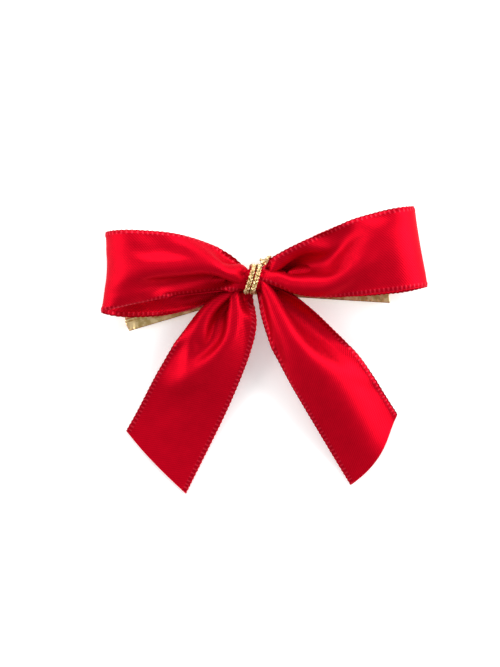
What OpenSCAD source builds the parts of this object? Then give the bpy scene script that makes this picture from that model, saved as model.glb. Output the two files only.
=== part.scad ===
// Pre-made gift bow: one length of satin ribbon, a gold binding cord and a twist tie.
//
// The bow lies on its back. +X runs to the right loop, +Y away from the tails, +Z out of its face.
// The origin is on the back face of the twist tie, behind the waist, where a parcel meets it.
//
// The ribbon runs: left tail, waist, front leaf and back leaf of the right loop, waist,
// back leaf and front leaf of the left loop, waist, right tail. So it crosses the waist three
// times, and each crossing is a layer of the pinched bundle inside the cord.

/* [Ribbon] */
// Width of the ribbon
ribbon_w = 16; // [12:0.5:18]
// Thickness of the ribbon
ribbon_t = 0.35; // [0.25:0.05:0.4]
// Width that the ribbon is gathered to inside the cord
waist_w = 4; // [3.8:0.1:4.2]

/* [Loops] */
// Length of the left loop, from the waist to its fold
left_loop_l = 29.2; // [25:0.2:34]
// Length of the right loop, from the waist to its fold
right_loop_l = 34.4; // [30:0.2:40]
// Direction of the left loop, seen from the face
left_loop_dir = 176; // [172:0.5:180]
// Direction of the right loop, seen from the face
right_loop_dir = 12; // [4:0.5:14]
// How far the left loop's front leaf arches sideways, away from the tails
left_loop_arch = 2.4; // [0:0.1:3]
// How far the right loop's front leaf arches sideways, away from the tails
right_loop_arch = 0.6; // [0:0.1:3]
// How far the front leaf of a loop bulges
loop_bulge = 6.5; // [6:0.25:8]
// How far a loop is rolled about its length, lower selvedge up
loop_roll = 7; // [6:0.5:9]

/* [Tails] */
// Length of the left tail from the waist
left_tail_l = 39; // [30:0.5:45]
// Length of the right tail from the waist
right_tail_l = 39.5; // [30:0.5:45]
// Direction of the left tail at its cut end
left_tail_dir = 243; // [238:0.5:250]
// Direction of the right tail at its cut end
right_tail_dir = -56; // [-62:0.5:-52]
// Slant of the cut ends
cut_slant = 20; // [0:1:30]

/* [Binding cord] */
// Diameter of the cord
cord_d = 1.1; // [0.9:0.05:1.15]
// How far the cord leans across the front of the waist
cord_lean = 14; // [0:1:20]

/* [Twist tie] */
// Width of the tie
tie_w = 4.6; // [4:0.2:6]
// Thickness of each foil strip
foil_t = 0.12; // [0.08:0.01:0.15]
// Diameter of the steel core
wire_d = 0.5; // [0.4:0.05:0.55]
// Length of the left arm from the middle of the tie
left_arm_l = 26.2; // [20:0.2:27]
// Length of the right arm from the middle of the tie
right_arm_l = 27.8; // [20:0.2:29]
// Direction of the left arm
left_arm_dir = 196.5; // [190:0.5:198]
// Direction of the right arm
right_arm_dir = -3.5; // [-9:0.5:-3]

/* [Hidden] */

// Heights. The cord under the tie is the lowest thing on the bow.
tie_h = foil_t + wire_d + foil_t;
floor_z = -cord_d - 0.1;
layer_pitch = ribbon_t * ribbon_w / waist_w + 0.1; // a gathered layer is thicker than the flat ribbon
low_z = tie_h + 0.1 + layer_pitch / 2;
mid_z = low_z + layer_pitch;
top_z = mid_z + layer_pitch;

// Where the ribbon leaves the waist. Each crossing joins two of these at one height
waist_l = 2.6; // half the waist's length
crossing_gap = 1; // the leaves slope as they leave the waist, so its layers stop short
left_front_gate = [-waist_l, 1, top_z]; // left front leaf to right tail
right_tail_gate = [waist_l, -1.85, top_z];
left_tail_gate = [-waist_l, -1.2, mid_z]; // left tail to right front leaf
right_front_gate = [waist_l + 0.2, 1.65, mid_z];
left_back_gate = [-waist_l, 0.2, low_z]; // left back leaf to right back leaf
right_back_gate = [waist_l + 0.2, 0.4, low_z];
left_tail_out = 208; // direction in which a tail leaves the waist
right_tail_out = -45;

loop_flare_l = 25; // the gathers of a leaf have opened out this far along it
tail_flare_l = 20;
back_sag = 0.35; // a back leaf sags this far between the waist and its fold
droop = 1.6; // a loop's fold lies this much lower than the middle of its gates
pivot_at = 0.31; // where along a tail its swing is centred
left_tail_mid_z = 2.6; // height that a tail arches at before it comes down to the floor
right_tail_mid_z = 3.4;
pivot_gap = 0.25; // clearance of a tail's pivot
bend_gap = 0.45; // clearance of an arm's bend
core_l = 4.6; // half the length of the tie's clamped middle
sheath_gap = 0.01; // between the core wire and its foil

leaf_steps = 48; // sections round a loop
tail_steps = 24;
cross_steps = 10;

satin = "crimson";
gold = "gold";
foil = "goldenrod";
steel = "silver";

// ---- Vectors and curves
function unit(v) = v / norm(v);
function plan(dir) = [cos(dir), sin(dir), 0];
function bezier(p, t) =
    pow(1 - t, 3) * p[0] + 3 * t * pow(1 - t, 2) * p[1] + 3 * t * t * (1 - t) * p[2] + pow(t, 3) * p[3];
function smooth(a, b, x) = let (t = min(1, max(0, (x - a) / (b - a)))) t * t * (3 - 2 * t);

// Plan curve from a gate at one height, leaving and arriving in given directions
function route(from, out_dir, to, in_dir, pull) =
    [from, from + pull * plan(out_dir), to - pull * plan(in_dir), to];

// Width of the gathered ribbon at a distance from the waist
function gathered(d, flare_l) = waist_w + (ribbon_w - waist_w) * sin(90 * min(1, max(0, d) / flare_l));
// The same cloth in less width is thicker
function bundle_t(w) = ribbon_t * ribbon_w / w;

// ---- A swept solid: a list of rings with equal numbers of points, and two caps
module sweep(rings) {
    sides = len(rings[0]);
    last = (len(rings) - 1) * sides;
    polyhedron(
        points = [for (ring = rings) each ring],
        faces = concat(
            [[for (j = [0 : sides - 1]) j]],
            [[for (j = [sides - 1 : -1 : 0]) last + j]],
            [for (i = [0 : len(rings) - 2], j = [0 : sides - 1])
                let (a = i * sides + j, b = i * sides + (j + 1) % sides)
                each [[a, a + sides, b], [b, a + sides, b + sides]]]),
        convexity = 10);
}

// Section of ribbon: its middle, its two unit directions, its width and thickness
function ribbon_ring(mid, across, up, w, t) = [
    mid - across * w / 2 - up * t / 2,
    mid + across * w / 2 - up * t / 2,
    mid + across * w / 2 + up * t / 2,
    mid - across * w / 2 + up * t / 2];

// Section of cord, square to the direction that it runs in, which is never close to the fixed one here
function cord_ring(mid, along, d, sides = 10) =
    let (side = unit(cross(along, [0.31, 0.17, 0.94])), up = cross(side, along))
    [for (k = [0 : sides - 1]) mid + d / 2 * (side * cos(360 * k / sides) + up * sin(360 * k / sides))];

// ---- Ribbon
// A loop's middle line goes round a teardrop: share 0 at the front gate, 1 at the back gate
module loop(front, back, length, dir, arch) {
    out = plan(dir);
    side = cross([0, 0, 1], out) * (out[0] > 0 ? 1 : -1);
    function far(share) = (1 - cos(360 * share)) / 2;
    function rolled(share, y, z) =
        let (roll = loop_roll * smooth(0, 0.4, far(share)))
        side * (y * cos(roll) + z * sin(roll)) + [0, 0, z * cos(roll) - y * sin(roll)];
    function place(share) =
        let (
            turn = 360 * share,
            middle = (front + back) / 2,
            swell = sin(turn) * sin(turn / 2) / 0.77, // reaches 1 before the fold and -1 after it
            bulge = (turn < 180 ? loop_bulge : back_sag) * swell,
            shift = arch * pow(sin(turn), 2) * (turn < 180 ? 1 : -0.5))
        middle + ((turn < 180 ? front : back) - middle) * (1 - far(share))
            + out * (length - waist_l) * far(share)
            + rolled(share, shift, bulge - droop * far(share));
    sweep([for (i = [0 : leaf_steps])
        let (
            share = i / leaf_steps,
            mid = place(share),
            along = unit(place(min(1, share + 0.001)) - place(max(0, share - 0.001))),
            up = unit(cross(along, rolled(share, 1, 0))),
            w = gathered(norm([mid[0] - front[0], mid[1] - front[1]]), loop_flare_l))
        ribbon_ring(mid, unit(cross(up, along)), up, w, bundle_t(w))]);
}

// A layer of the waist, from gate to gate
module crossing(from, from_dir, to, to_dir) {
    start = from + crossing_gap * plan(from_dir);
    end = to - crossing_gap * plan(to_dir);
    curve = route(start, from_dir, end, to_dir, 1.2);
    sweep([for (i = [0 : cross_steps])
        let (
            t = i / cross_steps,
            along = i == 0 ? plan(from_dir) : i == cross_steps ? plan(to_dir)
                : unit(bezier(curve, t + 0.01) - bezier(curve, t - 0.01)))
        ribbon_ring(bezier(curve, t), cross([0, 0, 1], along), [0, 0, 1], waist_w, bundle_t(waist_w))]);
}

function tail_end(length, dir) = length * plan(dir) + [0, 0, floor_z + ribbon_t / 2];
function tail_curve(gate, length, out_dir, dir) =
    route(gate, out_dir, [gate[0], gate[1], 0] + tail_end(length, dir), dir, length / 4);

// Height of a tail: from the waist to its arch and down to the floor
function tail_z(t, z, mid_z, end_z) =
    z + (mid_z - z) * smooth(0, 0.4, t) + (end_z - mid_z) * smooth(0.3, 1, t);

function tail_mid(curve, mid_z, t) =
    let (p = bezier(curve, t)) [p[0], p[1], tail_z(t, curve[0][2], mid_z, curve[3][2])];
function tail_along(curve, t) =
    let (d = bezier(curve, min(1, t + 0.005)) - bezier(curve, max(0, t - 0.005))) unit([d[0], d[1], 0]);

// Sections of a tail from share a to share b of its curve; the slant grows towards the cut end
module tail(gate, length, out_dir, dir, mid_z, a, b, side) {
    curve = tail_curve(gate, length, out_dir, dir);
    sweep([for (i = [0 : tail_steps])
        let (
            t = a + (b - a) * i / tail_steps,
            along = t == 0 ? plan(out_dir) : tail_along(curve, t),
            across = cross([0, 0, 1], along),
            w = gathered(t * length, tail_flare_l),
            skew = side * tan(cut_slant) * smooth(pivot_at, 1, t),
            slope = unit(tail_mid(curve, mid_z, min(1, t + 0.01)) - tail_mid(curve, mid_z, max(0, t - 0.01))),
            up = t == 0 ? [0, 0, 1] : unit(cross(slope, across)))
        ribbon_ring(tail_mid(curve, mid_z, t), across + slope * skew, up, w, bundle_t(w))]);
}

module left_tail_part(a, b)
    tail(left_tail_gate, left_tail_l, left_tail_out, left_tail_dir, left_tail_mid_z, a, b, 1);
module right_tail_part(a, b)
    tail(right_tail_gate, right_tail_l, right_tail_out, right_tail_dir, right_tail_mid_z, a, b, -1);

module left_loop()
    color(satin) loop(left_front_gate, left_back_gate, left_loop_l, left_loop_dir, left_loop_arch);
module right_loop()
    color(satin) loop(right_front_gate, right_back_gate, right_loop_l, right_loop_dir, right_loop_arch);
module front_crossing()
    color(satin) crossing(left_front_gate, left_loop_dir - 180, right_tail_gate, right_tail_out);
module middle_crossing()
    color(satin) crossing(left_tail_gate, left_tail_out - 180, right_front_gate, right_loop_dir);
module back_crossing()
    color(satin) crossing(left_back_gate, left_loop_dir - 180, right_back_gate, right_loop_dir);
module left_tail_root() color(satin) left_tail_part(0, pivot_at - pivot_gap / left_tail_l);
module left_tail() color(satin) left_tail_part(pivot_at + pivot_gap / left_tail_l, 1);
module right_tail_root() color(satin) right_tail_part(0, pivot_at - pivot_gap / right_tail_l);
module right_tail() color(satin) right_tail_part(pivot_at + pivot_gap / right_tail_l, 1);

// ---- Binding cord: two turns round the waist and the tie, knotted behind the upper edge
turns = 2;
turn_pitch = cord_d + 0.1;
wrap_y = 3.4 + cord_d / 2; // half size of the ring along Y, to the middle of the cord
wrap_top = top_z + layer_pitch / 2 + 0.2 + cord_d / 2;
wrap_bottom = -cord_d / 2 - 0.1;
wrap_z = (wrap_top - wrap_bottom) / 2;
knot_at = [turn_pitch * turns / 2 + 1.5, wrap_y, 0.5];
squareness = 4; // 2 is an oval, and more comes closer to a rectangle

function oval(x) = sign(x) * pow(abs(x), 2 / squareness);
function wrap_point(turn) =
    let (y = wrap_y * oval(sin(turn + 140)), height = 1 + oval(cos(turn + 140)))
    [turn_pitch * (turn / 360 - turns / 2) + y * tan(cord_lean) * height / 2, y, wrap_bottom + wrap_z * height];

module tube(points, d) {
    last = len(points) - 1;
    sweep([for (i = [0 : last])
        cord_ring(points[i], unit(points[min(last, i + 1)] - points[max(0, i - 1)]), d)]);
}

module binding_cord() color(gold) tube([for (turn = [0 : 10 : 360 * turns - 20]) wrap_point(turn)], cord_d);
module binding_knot() color(gold) translate(knot_at) sphere(d = 1.6, $fn = 32);
module cord_end(out, length) {
    start = knot_at + out * 0.95;
    bow = [0, 0, length / 6];
    color(gold) tube([for (t = [0 : 0.125 : 1]) start + out * length * t + bow * sin(180 * t)], cord_d * 0.8);
}
module binding_end_long() cord_end(unit([1.2, 1, -0.1]), 3);
module binding_end_short() cord_end(unit([-0.5, 1, -0.9]), 1.2);

// ---- Twist tie: a steel core between two foil strips, in a clamped middle and two arms
wire_z = foil_t + wire_d / 2;

// Runs a profile, drawn across the tie, along a direction from a to b
module run(dir, a, b) rotate([90, 0, dir + 90]) translate([0, 0, a]) linear_extrude(b - a) children();

module wire(dir, a, b) color(steel) run(dir, a, b) translate([0, wire_z]) circle(d = wire_d, $fn = 48);
module back_foil(dir, a, b) color(foil) run(dir, a, b) translate([-tie_w / 2, 0]) square([tie_w, foil_t]);
module front_foil(dir, a, b) color(foil) run(dir, a, b) difference() {
    union() {
        translate([-tie_w / 2, foil_t]) square([tie_w, foil_t]);
        intersection() {
            translate([0, wire_z]) circle(d = wire_d + 2 * foil_t, $fn = 48);
            translate([-wire_d, foil_t]) square([2 * wire_d, tie_h]);
        }
    }
    translate([0, wire_z]) circle(d = wire_d + 2 * sheath_gap, $fn = 48);
}

module tie_core_wire() wire(0, -core_l + bend_gap, core_l - bend_gap);
module tie_core_front_foil() front_foil(0, -core_l + bend_gap, core_l - bend_gap);
module tie_core_back_foil() back_foil(0, -core_l + bend_gap, core_l - bend_gap);
module left_arm_wire() wire(left_arm_dir, core_l + bend_gap, left_arm_l);
module left_arm_front_foil() front_foil(left_arm_dir, core_l + bend_gap, left_arm_l);
module left_arm_back_foil() back_foil(left_arm_dir, core_l + bend_gap, left_arm_l);
module right_arm_wire() wire(right_arm_dir, core_l + bend_gap, right_arm_l);
module right_arm_front_foil() front_foil(right_arm_dir, core_l + bend_gap, right_arm_l);
module right_arm_back_foil() back_foil(right_arm_dir, core_l + bend_gap, right_arm_l);

left_loop();
right_loop();
front_crossing();
middle_crossing();
back_crossing();
left_tail_root();
right_tail_root();
left_tail();
right_tail();
binding_cord();
binding_knot();
binding_end_long();
binding_end_short();
tie_core_wire();
tie_core_front_foil();
tie_core_back_foil();
left_arm_wire();
left_arm_front_foil();
left_arm_back_foil();
right_arm_wire();
right_arm_front_foil();
right_arm_back_foil();
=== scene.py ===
"""Pre-made gift bow: the looks. Satin ribbon, gold cord and foil twist tie, over the part's own frame.

Lengths in this file are millimetres until a mesh is made. The bow lies on its back with +Z out of its face.
"""

import math

import bpy
import numpy as np
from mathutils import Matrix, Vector


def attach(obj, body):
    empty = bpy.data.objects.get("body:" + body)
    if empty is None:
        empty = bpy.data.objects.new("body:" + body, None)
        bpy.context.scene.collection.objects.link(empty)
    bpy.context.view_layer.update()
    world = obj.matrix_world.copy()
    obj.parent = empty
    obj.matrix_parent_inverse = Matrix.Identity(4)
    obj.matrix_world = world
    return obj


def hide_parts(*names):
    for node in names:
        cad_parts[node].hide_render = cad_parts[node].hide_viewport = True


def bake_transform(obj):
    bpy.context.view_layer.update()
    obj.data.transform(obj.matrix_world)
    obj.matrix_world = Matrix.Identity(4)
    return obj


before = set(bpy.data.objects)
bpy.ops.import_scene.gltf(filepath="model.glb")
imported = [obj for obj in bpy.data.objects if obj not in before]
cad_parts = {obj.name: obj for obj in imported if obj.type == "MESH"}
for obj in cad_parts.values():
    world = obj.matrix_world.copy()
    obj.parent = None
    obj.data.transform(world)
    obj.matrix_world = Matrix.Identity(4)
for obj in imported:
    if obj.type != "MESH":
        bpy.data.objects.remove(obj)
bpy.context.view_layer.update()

MM = 0.001
FLOOR_Z = -1.2
X_AXIS = np.array([1.0, 0.0, 0.0])
Z_AXIS = np.array([0.0, 0.0, 1.0])

# The ribbon
RIBBON_W = 16.0
RIBBON_T = 0.16
PICOT_PITCH = 0.9  # between the thread loops of the selvedge
BAND_W = 0.95  # the thicker band inside each selvedge
SCALLOP = 0.05  # how far the selvedge goes in and out at its thread loops
BAND_RISE = 0.1  # extra thickness of the band
LOOP_RISE = 0.08  # extra thickness of the thread loops on top of that
END_BOW = (0.3, 1.4)  # how far the two cut ends bow outward between their corners
END_BOW_REACH = 8  # from each cut end, over which its bow fades out

# How the cloth settles
ROW_STEP = PICOT_PITCH / 6
GRID_STEP = 0.8  # of the coarse cloth that is settled before it is refined
GRID_COLUMNS = 25
SPRINGS = (  # steps along and across the grid, and stiffness; those longer than one only resist bending
    (1, 0, 1), (0, 1, 1), (1, 1, 0.3), (1, -1, 0.3),
    (2, 0, 0.3), (0, 2, 0.3), (4, 0, 0.2), (0, 4, 0.15), (8, 0, 0.1),
)
SETTLING_STEPS = 700
SELVEDGE_PULL = (0.2, 0.2, 0.04)  # share of the way back to its key that a selvedge moves at each step
HELD_REACH = 1.9  # rows nearer the waist than this are held by the cord
SMOOTHED_FROM = (12, 20)  # the settled cloth is averaged outside this distance from the waist

# The waist, as the middle and the half sizes of the bundle inside the cord
WAIST_Y = 0.7
WAIST_Z = 3.1
WAIST_HALF = (2.05, 2.25)
WAIST_REACH = 1.7  # the bundle's half length
SQUARENESS = 3  # of the bundle and the cord round it: 2 is an ellipse, more is squarer

# The twist tie
TIE_W = 4.6
FOIL_T = 0.12
WIRE_D = 0.5
TIE_H = WIRE_D + 2 * FOIL_T
TIE_CLEAR = 0.25  # between the tie and the ribbon above it
TIE_SHOULDER = 1.5  # over which the ribbon comes down beside the tie
RIDGE_HALF = 0.42  # of the ridge that the wire makes in the front foil
RAGGED = 0.12  # how uneven the cut ends are
CLAMP_L = 4.6  # half of the tie's middle, which the cord clamps
CURL_L = 2.4  # of each arm's end, which curls up
LEFT_ARM_DIR = math.radians(196.5)
LEFT_ARM_L = 26.2
RIGHT_ARM_DIR = math.radians(-3.5)
RIGHT_ARM_L = 27.8
TIE_SIDES = (  # name, direction and length of each arm, and how far its end curls up
    ("left", LEFT_ARM_DIR, LEFT_ARM_L, 0.35),
    ("right", RIGHT_ARM_DIR, RIGHT_ARM_L, 0.1),
)

# The cord
CORD_D = 1.1
CORD_LEAN = math.radians(14)
FRONT_SHIFT = 0.35  # the cord's front lies this far to the right of its back
WRAP_TURNS = 2
WRAP_PITCH = 1.2
WRAP_START = 140  # degrees round from the front
WRAP_SHORT = 20  # degrees by which the last turn falls short of a whole one
PLAIT_PITCH = 1.9
PLAIT_SPREAD = 0.32
PLAIT_DEPTH = 0.55  # of the plait as a share of its spread
YARN_PITCH = 0.75
YARN_R = 0.12
KNOT_AT = np.array([2.7, 3.95, 0.5])
KNOT_SCALE = 0.2
KNOT_CORD_D = 0.56  # the cord is pulled thinner in its knot
LONG_END = ((0.5, 0.1, 0.4), (1.0, 0.8, 1.9), (0.9, 1.0, 3.8), (0.3, 0.6, 5.4))
SHORT_END = ((-0.3, 0.4, -0.4), (-0.5, 0.6, -0.8), (-0.9, 0.7, -1.1))

# The satin's weave and colours
TWILL_PITCH = 0.5
TWILL_SLOPE = 0.8
RIB_PITCH = 0.31
THREAD_FROM = (0.12, 0.35)  # the selvedge's threads start this far from its edge
SATIN_DARK = (0.42, 0.0006, 0.009, 1)
SATIN_LIGHT = (0.62, 0.0012, 0.014, 1)
SATIN_EDGE = (0.2, 0.0005, 0.006, 1)
SATIN_THREAD = (0.75, 0.03, 0.06, 1)

# ---- The ribbon, as it is laid out before it settles
# A key holds its upper or outer selvedge, its lower or inner selvedge, and its fold pattern. The ribbon
# goes from the left tail's cut end to the right tail's, and crosses the waist three times.
#
# A fold pattern holds the shares of the width, from the lower selvedge, at which folds peak, in turn on
# the face side and the back, and how much of the gather is taken up by small pleats.
ARCHED = ((0.45, 1.1, 1.6), 0.0)
PINCHED = ((0.2, 0.45, 0.75), 0.75)
LEFT_TAIL_FOLDS = ((0.3, 0.55, 0.8), 0.05)
LEFT_TAIL_OPENING = ((0.36, 0.75, 1.1), 0.0)
RIGHT_TAIL_FOLDS = ((0.34, 0.8, 1.05), 0.12)
LEFT_LEAF_FOLDS = ((0.04, 0.18, 0.48), 0.05)
RIGHT_LEAF_FOLDS = ((0.24, 0.62, 0.92), 0.12)
BACK_FOLDS = ((0.3, 0.55, 0.8), 0.3)

LEFT_TAIL = [
    ((-25.2, -29.7, -0.9), (-13.2, -42.7, -0.9), ARCHED),
    ((-22.8, -25.6, -0.6), (-8.4, -33.0, -0.6), ARCHED),
    ((-20.2, -20.6, 0.4), (-4.8, -25.6, 0.6), ARCHED),
    ((-17.4, -15.6, 1.4), (-2.0, -19.0, 2.0), ARCHED),
    ((-14.8, -11.6, 2.0), (0.2, -13.2, 3.2), LEFT_TAIL_OPENING),
    ((-12.2, -8.4, 2.3), (1.2, -9.4, 4.0), LEFT_TAIL_FOLDS),
    ((-9.4, -5.6, 2.6), (1.5, -6.4, 4.2), LEFT_TAIL_FOLDS),
    ((-5.4, -3.0, 2.9), (1.2, -4.3, 3.8), LEFT_TAIL_FOLDS),
    ((-1.6, -1.4, 3.1), (-0.2, -3.2, 3.2), PINCHED),
]
MIDDLE_CROSSING = [
    ((0.2, 1.6, 3.1), (0.6, -1.4, 3.1), PINCHED),
]
RIGHT_FRONT_LEAF = [
    ((1.5, 4.0, 4.6), (1.6, 0.3, 4.4), PINCHED),
    ((3.4, 4.7, 5.6), (3.6, -0.2, 4.8), RIGHT_LEAF_FOLDS),
    ((6.2, 6.1, 6.5), (6.4, -1.3, 5.2), RIGHT_LEAF_FOLDS),
    ((10.0, 8.0, 7.2), (10.0, -2.5, 6.0), RIGHT_LEAF_FOLDS),
    ((14.8, 10.1, 7.3), (14.4, -2.9, 6.2), RIGHT_LEAF_FOLDS),
    ((20.2, 12.4, 7.8), (19.6, -2.8, 7.2), ARCHED),
    ((25.4, 13.9, 8.7), (25.2, -2.3, 8.4), ARCHED),
    ((29.0, 14.7, 8.9), (29.8, -1.7, 9.1), ARCHED),
    ((31.4, 15.0, 7.0), (33.2, -1.2, 7.9), ARCHED),
    ((32.1, 15.1, 4.2), (34.7, -0.9, 5.4), ARCHED),
]
RIGHT_BACK_LEAF = [
    ((32.1, 15.2, 1.4), (34.9, -0.9, 2.8), ARCHED),
    ((30.6, 14.8, 0.4), (33.4, -1.4, 1.8), ARCHED),
    ((25.6, 13.4, 0.2), (27.2, -2.3, 1.7), ARCHED),
    ((18.4, 10.8, 0.8), (19.0, -2.5, 1.9), ARCHED),
    ((11.6, 7.6, 1.3), (11.6, -2.2, 2.0), BACK_FOLDS),
    ((6.0, 4.6, 1.6), (6.0, -1.7, 2.0), BACK_FOLDS),
    ((2.0, 2.6, 1.7), (2.0, -1.4, 1.7), PINCHED),
]
LEFT_BACK_LEAF = [
    ((-2.0, 2.5, 1.7), (-2.0, -1.5, 1.7), PINCHED),
    ((-5.6, 4.0, 1.8), (-5.4, -2.7, 2.2), BACK_FOLDS),
    ((-11.0, 6.2, 1.6), (-10.4, -4.4, 2.5), BACK_FOLDS),
    ((-17.4, 8.2, 1.4), (-16.8, -6.3, 2.5), ARCHED),
    ((-23.8, 9.2, 1.1), (-23.4, -6.9, 2.3), ARCHED),
    ((-27.6, 9.7, 1.3), (-28.2, -6.6, 2.3), ARCHED),
]
LEFT_FRONT_LEAF = [
    ((-28.8, 10.0, 2.4), (-29.6, -6.1, 3.4), ARCHED),
    ((-28.7, 9.9, 5.2), (-29.5, -5.8, 5.2), ARCHED),
    ((-27.5, 10.0, 7.8), (-28.5, -5.4, 7.0), ARCHED),
    ((-24.8, 10.1, 9.3), (-25.9, -4.8, 7.6), ARCHED),
    ((-20.4, 10.0, 9.4), (-21.2, -3.8, 7.2), ARCHED),
    ((-15.2, 9.5, 8.8), (-15.6, -2.8, 6.7), LEFT_LEAF_FOLDS),
    ((-10.4, 8.3, 7.8), (-10.4, -2.2, 6.2), LEFT_LEAF_FOLDS),
    ((-6.2, 6.6, 6.7), (-6.2, -1.7, 5.6), LEFT_LEAF_FOLDS),
    ((-3.2, 4.9, 5.6), (-3.2, -1.5, 4.9), LEFT_LEAF_FOLDS),
    ((-1.5, 3.4, 4.9), (-1.5, -1.7, 4.6), PINCHED),
]
FRONT_CROSSING = [
    ((0.0, 2.0, 4.6), (-0.2, -2.4, 4.6), PINCHED),
]
RIGHT_TAIL = [
    ((1.6, 0.3, 4.8), (1.1, -3.4, 4.7), PINCHED),
    ((4.6, -1.0, 4.6), (1.5, -5.0, 5.2), RIGHT_TAIL_FOLDS),
    ((8.8, -3.0, 3.9), (2.4, -8.2, 5.4), RIGHT_TAIL_FOLDS),
    ((13.0, -6.2, 3.7), (4.0, -12.8, 5.2), RIGHT_TAIL_FOLDS),
    ((16.8, -9.9, 3.6), (6.4, -17.4, 4.6), ARCHED),
    ((20.6, -13.6, 3.1), (9.2, -22.4, 3.6), ARCHED),
    ((24.6, -18.9, 1.6), (13.2, -29.2, 1.8), ARCHED),
    ((27.2, -23.0, 0.0), (17.0, -35.6, -0.2), ARCHED),
    ((29.5, -26.5, -0.9), (20.2, -40.8, -0.9), ARCHED),
]


# ---- Curves
def smooth(a, b, x):
    """0 before a, 1 past b, and smooth between them."""
    t = np.clip((x - a) / (b - a), 0, 1)
    return t * t * (3 - 2 * t)


def unit(v):
    return v / np.maximum(np.linalg.norm(v, axis=-1, keepdims=True), 1e-9)


def spline(at, values, x):
    """Cubic curve through values, with slopes from the neighbours either side."""
    slope = np.gradient(values, at, axis=0)
    i = np.clip(np.searchsorted(at, x) - 1, 0, len(at) - 2)
    h = (at[i + 1] - at[i])[:, None]
    t = (x - at[i])[:, None] / h
    return (
        (1 + 2 * t) * (1 - t) ** 2 * values[i]
        + t * (1 - t) ** 2 * h * slope[i]
        + t * t * (3 - 2 * t) * values[i + 1]
        + t * t * (t - 1) * h * slope[i + 1]
    )


def ease(x, width):
    """x with each row averaged with those up to width rows either side of it."""
    kernel = np.hanning(2 * width + 3)[1:-1]
    kernel /= kernel.sum()
    padded = np.concatenate([np.repeat(x[:1], width, 0), x, np.repeat(x[-1:], width, 0)])
    return np.apply_along_axis(lambda c: np.convolve(c, kernel, "valid"), 0, padded)


def resample(line, step):
    """The line with points about step apart."""
    run = np.concatenate([[0], np.cumsum(np.linalg.norm(np.diff(line, axis=0), axis=1))])
    at = np.linspace(0, run[-1], max(2, round(run[-1] / step) + 1))
    return np.column_stack([np.interp(at, run, line[:, k]) for k in range(line.shape[1])])


# ---- Ribbon shape
def section(chord, width, peaks, fine, shares):
    """A folded row: how far along its chord, and how far above it, lie the points at these shares.

    The row's slope swings between its folds, as far as it must for its width to fit the chord. Halving
    finds that swing.
    """
    fold = np.interp(shares, [-0.4, *peaks, 1.9], [-0.6, 0.5, 1.5, 2.5, 4.2])
    fold = ease(fold[:, None], len(shares) // 12)[:, 0]
    swing = np.cos(np.pi * fold) + fine * np.cos(2 * np.pi * 3.6 * shares + 0.8)
    step = width / (len(shares) - 1)
    low, high = 0.0, 2.6
    for _ in range(18):
        middle = (low + high) / 2
        slope = middle * swing
        reach = np.hypot(np.cos(slope).mean(), np.sin(slope).mean()) * width
        low, high = (middle, high) if reach > chord else (low, middle)
    slope = (slope[1:] + slope[:-1]) / 2
    x = np.concatenate([[0], np.cumsum(np.cos(slope))]) * step
    z = np.concatenate([[0], np.cumsum(np.sin(slope))]) * step
    turn = math.atan2(z[-1], x[-1])
    size = chord / math.hypot(x[-1], z[-1])
    return (x * math.cos(turn) + z * math.sin(turn)) * size, (z * math.cos(turn) - x * math.sin(turn)) * size


def laid_out(keys):
    """A coarse grid of the ribbon, folded to its keys.

    Returned with it: how far along the flat ribbon each of its points lies, and how far along each
    row's middle lies and how much the row slants there.
    """
    upper = np.array([k[0] for k in keys], float)
    lower = np.array([k[1] for k in keys], float)
    folds = np.array([[*k[2][0], k[2][1]] for k in keys], float)
    run = np.concatenate([[0], np.cumsum(np.linalg.norm(np.diff((upper + lower) / 2, axis=0), axis=1))])
    x = np.linspace(0, run[-1], round(run[-1] / GRID_STEP) + 1)
    rows = ease(spline(run, np.hstack([upper, lower, folds]), x), 2)
    upper, lower, folds = rows[:, :3], rows[:, 3:6], rows[:, 6:]
    along = unit(np.gradient((upper + lower) / 2, axis=0))
    chords = upper - lower
    across = unit(chords)
    face = unit(np.cross(along, across))
    skew = -np.sum(chords * along, axis=1) / RIBBON_W
    shares = np.linspace(0, 1, GRID_COLUMNS)
    dense = np.linspace(0, 1, 97)
    points = np.empty((len(x), len(shares), 3))
    for i in range(len(x)):
        width = RIBBON_W * math.hypot(1, skew[i])
        chord = min(np.linalg.norm(chords[i]), width * 0.999)
        flat, high = section(chord, width, folds[i, :3], max(0.0, folds[i, 3]), dense)
        flat = np.interp(shares, dense, flat) * np.linalg.norm(chords[i]) / chord
        high = np.interp(shares, dense, high)
        points[i] = lower[i] + across[i] * flat[:, None] + face[i] * high[:, None]
    edges = [np.linalg.norm(np.diff(edge, axis=0), axis=1) for edge in (lower, upper)]
    steps = edges[0][:, None] * (1 - shares) + edges[1][:, None] * shares
    return points, np.vstack([0 * shares, np.cumsum(steps, axis=0)]), x, skew


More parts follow.
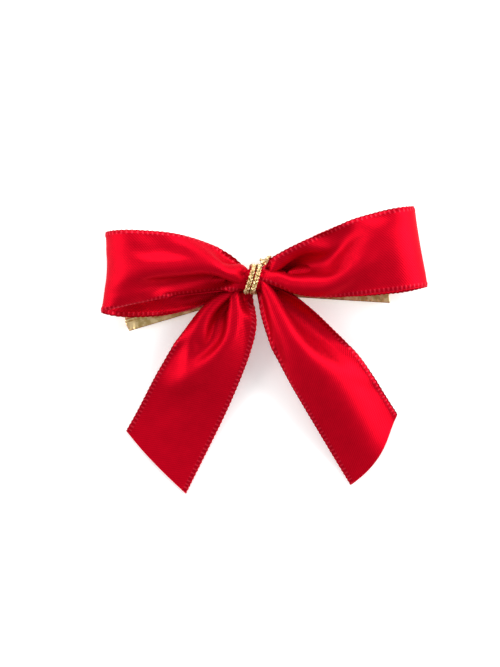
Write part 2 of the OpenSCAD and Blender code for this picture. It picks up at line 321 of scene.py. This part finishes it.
def springs(run, skew):
    """Springs between points of the grid of cloth, in sets: no point is in two springs of one set.

    run is how far along the cloth each point lies, and skew how much its row slants. A set holds the
    springs' first and second points, their stiffness, whether they only resist bending, and their rest
    lengths.
    """
    column = RIBBON_W / (GRID_COLUMNS - 1)
    sets = []
    for down, right, stiffness in SPRINGS:
        size = max(down, abs(right))
        axis = 0 if down else 1
        for start in range(2 * size):
            count = (run.shape[axis] - size - start + 2 * size - 1) // (2 * size)
            if count < 1:
                continue
            first = [slice(None), slice(None)]
            second = [slice(None), slice(None)]
            if down and right:
                first[1], second[1] = (slice(None, -1), slice(1, None))[:: right]
            last = start + (count - 1) * 2 * size
            first[axis] = slice(start, last + 1, 2 * size)
            second[axis] = slice(start + size, last + size + 1, 2 * size)
            first, second = tuple(first), tuple(second)
            length = run[second] - run[first[0], second[1]] + run[second[0], first[1]] - run[first]
            length = (length - (skew[first[0]] + skew[second[0]])[:, None] * right * column) / 2
            rest = np.hypot(length, right * column)[..., None]
            sets.append((first, second, stiffness, size > 1, rest))
    return sets


def relaxed(points, run, skew):
    """The grid of cloth settled: its lengths kept, its bends eased, its selvedges near where they were."""
    points = cinched(points)
    target = points[:, [0, -1]].copy()
    held = np.abs(points[:, [GRID_COLUMNS // 2]]) @ (1, 0.6, 0) < HELD_REACH
    free = np.where(held, 0.0, 1.0)[..., None]
    sets = springs(run, skew)
    for _ in range(SETTLING_STEPS):
        for a, b, stiffness, bend, rest in sets:
            reach = points[b] - points[a]
            size = np.linalg.norm(reach, axis=-1, keepdims=True)
            short = (size - rest) / np.maximum(size, 1e-6)
            if bend:
                short = np.minimum(short, 0)
            move = reach * short * stiffness / 2
            points[a] += move * free[a[0]]
            points[b] -= move * free[b[0]]
        points[:, [0, -1]] += (target - points[:, [0, -1]]) * free * SELVEDGE_PULL
        points = cinched(points)
        points[..., 2] = np.maximum(points[..., 2], lowest(points))
    away = smooth(*SMOOTHED_FROM, np.linalg.norm(points[:, [GRID_COLUMNS // 2], :2], axis=-1))[..., None]
    even = ease(points.reshape(len(points), -1), 3).reshape(points.shape)
    even[[0, -1]] = points[[0, -1]]
    return points + (even - points) * away


def cinched(points):
    """The points, with those at the waist pressed inside the cord."""
    x, y, z = points[..., 0], points[..., 1] - WAIST_Y, points[..., 2] - WAIST_Z
    over = (np.abs(y) / WAIST_HALF[0]) ** SQUARENESS + (np.abs(z) / WAIST_HALF[1]) ** SQUARENESS
    over = over ** (1 / SQUARENESS)
    lean = (y * math.tan(CORD_LEAN) + FRONT_SHIFT) * smooth(-2, 2, z)
    press = 1 - smooth(WAIST_REACH, WAIST_REACH + 0.8, np.abs(x - lean))
    press *= 1 - smooth(WAIST_HALF[0] + 0.9, WAIST_HALF[0] + 1.6, np.abs(y))
    scale = 1 + (1 / np.maximum(over, 1) - 1) * press
    return np.stack([x, y * scale + WAIST_Y, z * scale + WAIST_Z], -1)


def lowest(points):
    """How low a point of the ribbon can lie: on the tie where that runs below it, else on the floor."""
    level = np.full(points.shape[:-1], FLOOR_Z + RIBBON_T)
    for _, direction, length, _ in TIE_SIDES:
        along = points[..., 0] * math.cos(direction) + points[..., 1] * math.sin(direction)
        across = points[..., 1] * math.cos(direction) - points[..., 0] * math.sin(direction)
        inside = (1 - smooth(TIE_W / 2, TIE_W / 2 + TIE_SHOULDER, np.abs(across))) * smooth(-1, 0, along)
        inside *= 1 - smooth(length, length + TIE_SHOULDER, along)
        level = np.maximum(level, FLOOR_Z + RIBBON_T + (TIE_H + TIE_CLEAR - FLOOR_Z) * inside)
    return level


def refined(points, x, skew, shares):
    """The coarse grid as smooth rows, ROW_STEP apart, and the flat place of each point along and across."""
    count = round(x[-1] / ROW_STEP) + 1
    grid = np.arange(len(points), dtype=float)
    fine = np.linspace(0, grid[-1], count)
    rows = spline(grid, points.reshape(len(points), -1), fine).reshape(count, -1, 3)
    columns = rows.transpose(1, 0, 2).reshape(rows.shape[1], -1)
    rows = spline(np.linspace(0, 1, GRID_COLUMNS), columns, shares)
    rows = rows.reshape(len(shares), count, 3).transpose(1, 0, 2)
    slant = np.interp(fine, grid, skew)[:, None]
    place = np.interp(fine, grid, x)[:, None] - slant * (shares - 0.5) * RIBBON_W
    bow = END_BOW[1] * smooth(x[-1] - END_BOW_REACH, x[-1], place)
    bow -= END_BOW[0] * smooth(END_BOW_REACH, 0, place)
    bow *= 4 * shares * (1 - shares)
    rows = rows + unit(np.gradient(rows, axis=0)) * bow[..., None]
    place = place + bow
    return rows, np.stack(np.broadcast_arrays(place, shares * RIBBON_W), -1)


def ribbon_shares():
    """Shares of the width with a column at each change of the selvedge band."""
    edge = np.array([0, 0.3, 0.55, 0.8, BAND_W, BAND_W + 0.25])
    inner = np.linspace(edge[-1], RIBBON_W - edge[-1], 28)[1:-1]
    return np.concatenate([edge, inner, (RIBBON_W - edge)[::-1]]) / RIBBON_W


def normals_of(points):
    """Unit normals of a grid of points."""
    return unit(np.cross(np.gradient(points, axis=0), np.gradient(points, axis=1)))


def new_mesh(name, points, faces, uvs=None, material=None):
    """A mesh object from points in millimetres. uvs holds one pair for each point."""
    mesh = bpy.data.meshes.new(name)
    mesh.from_pydata((np.asarray(points) * MM).tolist(), [], faces)
    if uvs is not None:
        loops = np.empty(len(mesh.loops), np.int32)
        mesh.loops.foreach_get("vertex_index", loops)
        layer = mesh.uv_layers.new(name="Cloth")
        layer.data.foreach_set("uv", np.asarray(uvs, np.float32)[loops].ravel())
    mesh.polygons.foreach_set("use_smooth", [True] * len(mesh.polygons))
    mesh.update()
    obj = bpy.data.objects.new(name, mesh)
    bpy.context.scene.collection.objects.link(obj)
    if material:
        mesh.materials.append(material)
    return obj


def shell(points, thickness, uv):
    """A closed sheet: the grid of points with a face and a back, thickness apart, and a rim."""
    rows, columns = points.shape[:2]
    half = normals_of(points) * np.asarray(thickness)[..., None] / 2
    both = np.concatenate([(points + half).reshape(-1, 3), (points - half).reshape(-1, 3)])
    index = np.arange(rows * columns).reshape(rows, columns)
    a, b = index[:-1, :-1].ravel(), index[1:, :-1].ravel()
    c, d = index[1:, 1:].ravel(), index[:-1, 1:].ravel()
    back = rows * columns
    rim = np.concatenate([index[0], index[1:, -1], index[-1, -2::-1], index[-2:0:-1, 0]])
    after = np.roll(rim, -1)
    faces = np.concatenate([
        np.stack([a, b, c, d], 1),
        np.stack([d, c, b, a], 1) + back,
        np.stack([after, rim, rim + back, after + back], 1),
    ])
    return both, faces.tolist(), np.concatenate([uv.reshape(-1, 2)] * 2)


def ribbon_piece(name, points, flat, shares, material):
    """Part of the ribbon as cloth, with a raised band and thread loops along both selvedges."""
    from_edge = np.minimum(shares, 1 - shares) * RIBBON_W
    band = 1 - smooth(BAND_W - 0.15, BAND_W + 0.2, from_edge)
    outward = unit(np.gradient(points, axis=1)) * np.where(shares > 0.5, 1, -1)[:, None]
    knot = 0.5 + 0.5 * np.cos(2 * np.pi * flat[..., 0] / PICOT_PITCH)
    scallop = SCALLOP * (2 * knot - 1) * (1 - smooth(0, 0.5, from_edge))
    thread = band * (BAND_RISE + LOOP_RISE * knot * (1 - smooth(0.25, 0.7, np.abs(from_edge - 0.5))))
    moved = points + outward * scallop[..., None]
    return new_mesh(name, *shell(moved, RIBBON_T + thread, flat * MM), material)


# ---- Cord and tie
def wrap_line():
    """Middle of the binding cord: two turns round the waist and the tie, square at the corners."""
    top = WAIST_Z + WAIST_HALF[1] + CORD_D / 2 + 0.15
    bottom = -CORD_D / 2 - 0.1
    turn = np.arange(0, WRAP_TURNS * 360 - WRAP_SHORT, 1.0)
    angle = np.radians(turn + WRAP_START)
    y, z = (np.sign(f) * np.abs(f) ** (2 / SQUARENESS) for f in (np.sin(angle), np.cos(angle)))
    y = y * (WAIST_HALF[0] + 0.1 + CORD_D / 2)
    x = WRAP_PITCH * (turn / 360 - WRAP_TURNS / 2) + (y * math.tan(CORD_LEAN) + FRONT_SHIFT) * (1 + z) / 2
    return resample(np.stack([x, y + WAIST_Y, bottom + (top - bottom) * (1 + z) / 2], 1), 0.1)


def frame_along(line, aside):
    """Unit directions beside and above a line, where aside is roughly beside it all along."""
    along = unit(np.gradient(line, axis=0))
    above = unit(np.cross(aside, along))
    return np.cross(along, above), above


def tube_parts(line, radius, aside, sides):
    """Points and faces of a round tube along a line."""
    beside, above = frame_along(line, aside)
    turn = 2 * np.pi * np.arange(sides) / sides
    ring = beside[:, None] * np.cos(turn)[:, None] + above[:, None] * np.sin(turn)[:, None]
    points = line[:, None] + ring * radius
    index = np.arange(len(line) * sides).reshape(len(line), sides)
    after = np.roll(index, -1, 1)
    faces = np.stack([index[:-1], after[:-1], after[1:], index[1:]], -1).reshape(-1, 4).tolist()
    return points.reshape(-1, 3), faces + [index[0, ::-1].tolist(), index[-1].tolist()]


def tubes(name, lines, radius, aside, material, sides=6):
    """One object from a tube along each line."""
    points, faces, base = [], [], 0
    for line in lines:
        more, around = tube_parts(line, radius, aside, sides)
        points.append(more)
        faces += [[base + i for i in face] for face in around]
        base += len(more)
    return new_mesh(name, np.concatenate(points), faces, material=material)


def plait(line, aside):
    """Lines of the yarns of a cord along this line: three strands plaited, each of two yarns twisted."""
    run = np.concatenate([[0], np.cumsum(np.linalg.norm(np.diff(line, axis=0), axis=1))])
    beside, above = frame_along(line, aside)
    yarns = []
    for strand in range(3):
        turn = (2 * np.pi * (run / PLAIT_PITCH + strand / 3))[:, None]
        middle = line + beside * np.sin(turn) * PLAIT_SPREAD
        middle = middle + above * np.sin(2 * turn) * PLAIT_SPREAD * PLAIT_DEPTH
        for yarn in (0, np.pi):
            twist = (2 * np.pi * run / YARN_PITCH + yarn)[:, None]
            yarns.append(middle + (beside * np.cos(twist) + above * np.sin(twist)) * YARN_R * 0.85)
    return yarns


def knot_line():
    """Middle of the cord in its knot, a closed trefoil."""
    turn = np.linspace(0, 2 * np.pi, 90)
    x = np.sin(turn) + 2 * np.sin(2 * turn)
    y = np.cos(turn) - 2 * np.cos(2 * turn)
    return KNOT_AT + np.stack([x, y, -np.sin(3 * turn)], 1) * KNOT_SCALE


def cord_end(bends, count):
    """Yarns of one cut end of the cord, which starts in the knot: frayed, so only some of them show."""
    keys = KNOT_AT + np.array(bends)
    line = spline(np.arange(float(len(keys))), keys, np.linspace(0, len(keys) - 1, count))
    return plait(line, Z_AXIS)[:4]


def arm_line(direction, s):
    """Middle of the tie on one side at distances s from the waist, in plan: the clamp, then the arm."""
    arm = np.array([math.cos(direction), math.sin(direction)])
    core = np.array([np.sign(arm[0]), 0])
    turned = smooth(0.5, CLAMP_L, s)[:, None]
    return s[:, None] * (core * (1 - turned) + arm * turned)


def foil_strip(name, direction, length, front, curl, material):
    """Half of one foil strip of the tie, over the wire or under it, creased, with its cut end curled up."""
    s = np.linspace(0, length, round(length / 0.2) + 1)
    v = np.linspace(-1, 1, 31)
    middle = arm_line(direction, s)
    along = unit(np.gradient(middle, axis=0))
    across = np.stack([-along[:, 1], along[:, 0]], 1)
    ragged = RAGGED * np.sin(5.1 * v) * smooth(length - 1, length, s)[:, None]
    plan = middle[:, None] + across[:, None] * (v * TIE_W / 2)[:, None] + along[:, None] * ragged[..., None]
    ridge = (WIRE_D + FOIL_T / 2) * np.exp(-((v * TIE_W / 2 / RIDGE_HALF) ** 4)) * front
    crease = 0.025 * np.sin(2.3 * s[:, None] + 2.5 * v) + 0.03 * np.sin(7.7 * s[:, None] - 4 * v)
    lift = curl * smooth(length - CURL_L, length, s)[:, None] * (1 + 0.7 * v)
    rest = (1.5 if front else 0.5) * FOIL_T  # the front strip lies on the back one
    loose = (0.35 + 0.65 * front) * np.abs(v) ** 2 * smooth(CLAMP_L, CLAMP_L + 2, s)[:, None]
    z = rest + ridge + (crease + 0.05) * loose + lift
    points = np.concatenate([plan, z[..., None]], -1)
    thickness = np.full(z.shape, FOIL_T * 0.6)
    uv = np.stack(np.broadcast_arrays(s[:, None] * MM, v * TIE_W / 2 * MM), -1)
    return new_mesh(name, *shell(points, thickness, uv), material)


def tie_wire(name, direction, length, curl, material):
    """Half of the tie's core wire, between the foil strips."""
    s = np.linspace(0.3, length, 120)
    z = FOIL_T + WIRE_D / 2 + curl * smooth(length - CURL_L, length, s)
    line = np.column_stack([arm_line(direction, s), z])
    return tubes(name, [line], WIRE_D / 2, Z_AXIS, material, 16)


# ---- Materials
def material_nodes(name):
    """A new material, its node tree and its shader."""
    material = bpy.data.materials.new(name)
    material.use_nodes = True
    tree = material.node_tree
    return material, tree, tree.nodes["Principled BSDF"]


def plug(tree, made, inputs):
    """Each input of a node that was made, linked to a socket or set to a value."""
    for key, value in inputs.items():
        if isinstance(value, bpy.types.NodeSocket):
            tree.links.new(value, made.inputs[key])
        else:
            made.inputs[key].default_value = value


def node(tree, kind, inputs=None, **settings):
    """A new node with its settings and inputs."""
    made = tree.nodes.new(kind)
    for key, value in settings.items():
        setattr(made, key, value)
    plug(tree, made, inputs or {})
    return made


def sums(tree, operation, *values):
    """The output of a math node."""
    return node(tree, "ShaderNodeMath", dict(enumerate(values)), operation=operation).outputs[0]


def wave(tree, position, pitch):
    """A wave from -1 to 1 along a position, one for each pitch, both in metres."""
    return sums(tree, "SINE", sums(tree, "MULTIPLY", position, 2 * math.pi / pitch))


def step(tree, low, high, value):
    """0 below low, 1 above high, smooth between them."""
    inputs = {"Value": value, "From Min": low, "From Max": high}
    return node(tree, "ShaderNodeMapRange", inputs, interpolation_type="SMOOTHSTEP").outputs[0]


def mixed(tree, factor, first, second):
    """A colour between two, each a socket or a colour."""
    return node(tree, "ShaderNodeMix", {0: factor, 6: first, 7: second}, data_type="RGBA").outputs[2]


def satin():
    """Crimson satin: fine twill, sheen that stretches across the threads, and a coarser selvedge band."""
    material, tree, shader = material_nodes("satin_ribbon")
    cloth = node(tree, "ShaderNodeUVMap", uv_map="Cloth").outputs["UV"]
    place = node(tree, "ShaderNodeSeparateXYZ", {0: cloth})
    along, across = place.outputs["X"], place.outputs["Y"]
    from_edge = sums(tree, "MINIMUM", across, sums(tree, "SUBTRACT", RIBBON_W * MM, across))
    inside = step(tree, (BAND_W - 0.1) * MM, (BAND_W + 0.1) * MM, from_edge)
    slanted = sums(tree, "ADD", along, sums(tree, "MULTIPLY", across, TWILL_SLOPE))
    twill = wave(tree, slanted, TWILL_PITCH * MM)
    ribs = wave(tree, across, RIB_PITCH * MM)
    weave = sums(tree, "ADD", twill, sums(tree, "MULTIPLY", ribs, 0.6))
    weft = wave(tree, sums(tree, "ADD", along, PICOT_PITCH * MM / 4), PICOT_PITCH * MM)
    band = sums(tree, "SUBTRACT", step(tree, *(d * MM for d in THREAD_FROM), from_edge), inside)
    thread = sums(tree, "MULTIPLY", step(tree, 0.1, 0.9, weft), sums(tree, "MAXIMUM", band, 0.0))
    patch = node(tree, "ShaderNodeTexNoise", {"Vector": cloth, "Scale": 420.0, "Detail": 3.0}).outputs["Fac"]
    tone = sums(tree, "ADD", sums(tree, "MULTIPLY", weave, 0.22), sums(tree, "MULTIPLY", patch, 0.5))
    body = mixed(tree, step(tree, -0.2, 0.7, tone), SATIN_DARK, SATIN_LIGHT)
    outside = sums(tree, "SUBTRACT", 1.0, inside)
    banded = mixed(tree, sums(tree, "MULTIPLY", outside, 0.35), body, SATIN_EDGE)
    edged = mixed(tree, sums(tree, "MULTIPLY", thread, 0.5), banded, SATIN_THREAD)
    height = sums(tree, "ADD", sums(tree, "MULTIPLY", weave, inside), sums(tree, "MULTIPLY", thread, 3.0))
    bump = node(tree, "ShaderNodeBump", {"Height": height, "Strength": 0.6, "Distance": 0.000012})
    tangent = node(tree, "ShaderNodeTangent", direction_type="UV_MAP", uv_map="Cloth")
    plug(tree, shader, {
        "Base Color": edged,
        "Normal": bump.outputs[0],
        "Tangent": tangent.outputs[0],
        "Metallic": 0.6,
        "Roughness": 0.46,
        "Anisotropic": 0.5,
        "Specular IOR Level": 0.06,
        "Specular Tint": (1, 0.5, 0.55, 1),
    })
    return material


def metal(name, dark, light, grain, roughness, bump):
    """Metal whose tone varies between two colours in grains of about this size, in metres."""
    material, tree, shader = material_nodes(name)
    at = node(tree, "ShaderNodeTexCoord").outputs["Object"]
    noise = node(tree, "ShaderNodeTexNoise", {"Vector": at, "Scale": 1 / grain, "Detail": 4.0}).outputs["Fac"]
    tone = mixed(tree, step(tree, 0.35, 0.62, noise), dark, light)
    normal = node(tree, "ShaderNodeBump", {"Height": noise, "Strength": 0.7, "Distance": bump}).outputs[0]
    plug(tree, shader, {"Base Color": tone, "Normal": normal, "Metallic": 1.0, "Roughness": roughness})
    return material


def paper():
    """The white ground that the bow lies on."""
    material, tree, shader = material_nodes("white_ground")
    at = node(tree, "ShaderNodeTexCoord").outputs["Object"]
    noise = node(tree, "ShaderNodeTexNoise", {"Vector": at, "Scale": 900.0, "Detail": 3.0}).outputs["Fac"]
    plug(tree, shader, {
        "Base Color": mixed(tree, noise, (0.9, 0.9, 0.89, 1), (0.95, 0.95, 0.94, 1)),
        "Roughness": 0.6,
        "Emission Color": (1, 1, 0.99, 1),
        "Emission Strength": 0.3,
    })
    return material


# ---- Build
red = satin()
gold = metal("gold_cord", (0.38, 0.25, 0.06, 1), (1.0, 0.82, 0.48, 1), 0.0005, 0.32, 0.00004)
foil = metal("gold_foil", (0.62, 0.43, 0.16, 1), (0.95, 0.74, 0.38, 1), 0.0012, 0.34, 0.00002)
steel = metal("steel_wire", (0.42, 0.42, 0.42, 1), (0.62, 0.62, 0.6, 1), 0.0003, 0.35, 0.00001)

ROUTE = (
    LEFT_TAIL + MIDDLE_CROSSING + RIGHT_FRONT_LEAF + RIGHT_BACK_LEAF + LEFT_BACK_LEAF + LEFT_FRONT_LEAF
    + FRONT_CROSSING + RIGHT_TAIL
)


def waist_cuts(rows):
    """The rows where the tails reach the middle of the waist, each in an end quarter of the ribbon."""
    near = np.abs(rows[:, rows.shape[1] // 2, 0])
    quarter = len(rows) // 4
    return int(np.argmin(near[:quarter])), len(rows) - quarter + int(np.argmin(near[-quarter:]))


def ribbon_stretch(name, rows, flat, shares):
    """One stretch of the ribbon."""
    piece = ribbon_piece(name, rows, flat, shares, red)
    return piece


coarse, run, x, skew = laid_out(ROUTE)
shares = ribbon_shares()
rows, flat = refined(relaxed(coarse, run, skew), x, skew, shares)
left_cut, right_cut = waist_cuts(rows)
LEFT_PART = slice(None, left_cut + 1)
MIDDLE_PART = slice(left_cut, right_cut + 1)
RIGHT_PART = slice(right_cut, None)
left_tail = ribbon_stretch("ribbon_left_tail", rows[LEFT_PART], flat[LEFT_PART], shares)
loops = ribbon_stretch("ribbon_loops", rows[MIDDLE_PART], flat[MIDDLE_PART], shares)
right_tail = ribbon_stretch("ribbon_right_tail", rows[RIGHT_PART], flat[RIGHT_PART], shares)
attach(loops, "bow")
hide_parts("left_loop", "right_loop", "middle_crossing", "back_crossing", "front_crossing")
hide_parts("left_tail_root", "left_tail")
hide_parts("right_tail_root", "right_tail")
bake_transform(left_tail)
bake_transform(right_tail)

cord = tubes("cord_wrap", plait(wrap_line(), X_AXIS), YARN_R, X_AXIS, gold)
knot = tubes("cord_knot", [knot_line()], KNOT_CORD_D / 2, Z_AXIS + 0.2, gold, 12)
ends = tubes("cord_ends", cord_end(LONG_END, 50) + cord_end(SHORT_END, 24), YARN_R, Z_AXIS, gold)
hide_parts("binding_cord")
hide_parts("binding_knot")
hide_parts("binding_end_long", "binding_end_short")
for piece in (cord, knot, ends):
    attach(piece, "bow")

for side, direction, length, curl in TIE_SIDES:
    front = foil_strip(f"{side}_front_foil", direction, length, 1, curl, foil)
    back = foil_strip(f"{side}_back_foil", direction, length, 0, curl, foil)
    wire = tie_wire(f"{side}_wire", direction, length, curl, steel)
    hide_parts(f"{side}_arm_front_foil", "tie_core_front_foil")
    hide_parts(f"{side}_arm_back_foil", "tie_core_back_foil")
    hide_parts(f"{side}_arm_wire", "tie_core_wire")
    for piece, slot in ((front, "gold_foil"), (back, "gold_foil"), (wire, "steel_wire")):
        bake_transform(piece)

# ---- Setting
FLOOR_HALF = 600
LENS = 85
SENSOR_H = 24
VIEW_H = 132.6  # what the view's height spans on the bow
CROWN_H = 3  # the part of the bow at that scale is this far above the frame's origin

corners = [(x * FLOOR_HALF, y * FLOOR_HALF, FLOOR_Z) for x, y in ((-1, -1), (1, -1), (1, 1), (-1, 1))]
floor = new_mesh("floor", corners, [(0, 1, 2, 3)], material=paper())


def area_light(name, at, size, power):
    """A soft box of this size that faces the bow."""
    data = bpy.data.lights.new(name, "AREA")
    data.shape = "RECTANGLE"
    data.size = size[0] * MM
    data.size_y = size[1] * MM
    data.energy = power
    obj = bpy.data.objects.new(name, data)
    obj.location = [c * MM for c in at]
    obj.rotation_euler = (-Vector(at)).to_track_quat("-Z", "Y").to_euler()
    bpy.context.scene.collection.objects.link(obj)


area_light("left_box", (-330, 30, 170), (260, 260), 0.85)
area_light("right_box", (330, 60, 170), (260, 260), 1.5)
area_light("far_box", (-40, 330, 190), (320, 200), 1.15)

scene = bpy.context.scene
world = bpy.data.worlds.new("room")
world.use_nodes = True
plug(world.node_tree, world.node_tree.nodes["Background"], {"Color": (0.9, 0.9, 0.92, 1), "Strength": 0.52})
scene.world = world
scene.view_settings.view_transform = "Standard"

camera = bpy.data.objects.new("camera", bpy.data.cameras.new("camera"))
camera.data.lens = LENS
camera.data.sensor_fit = "VERTICAL"
camera.data.sensor_height = SENSOR_H
camera.location = (-0.2 * MM, -10.1 * MM, (VIEW_H * LENS / SENSOR_H + CROWN_H) * MM)
camera.data.clip_start = 0.01
scene.collection.objects.link(camera)
scene.camera = camera
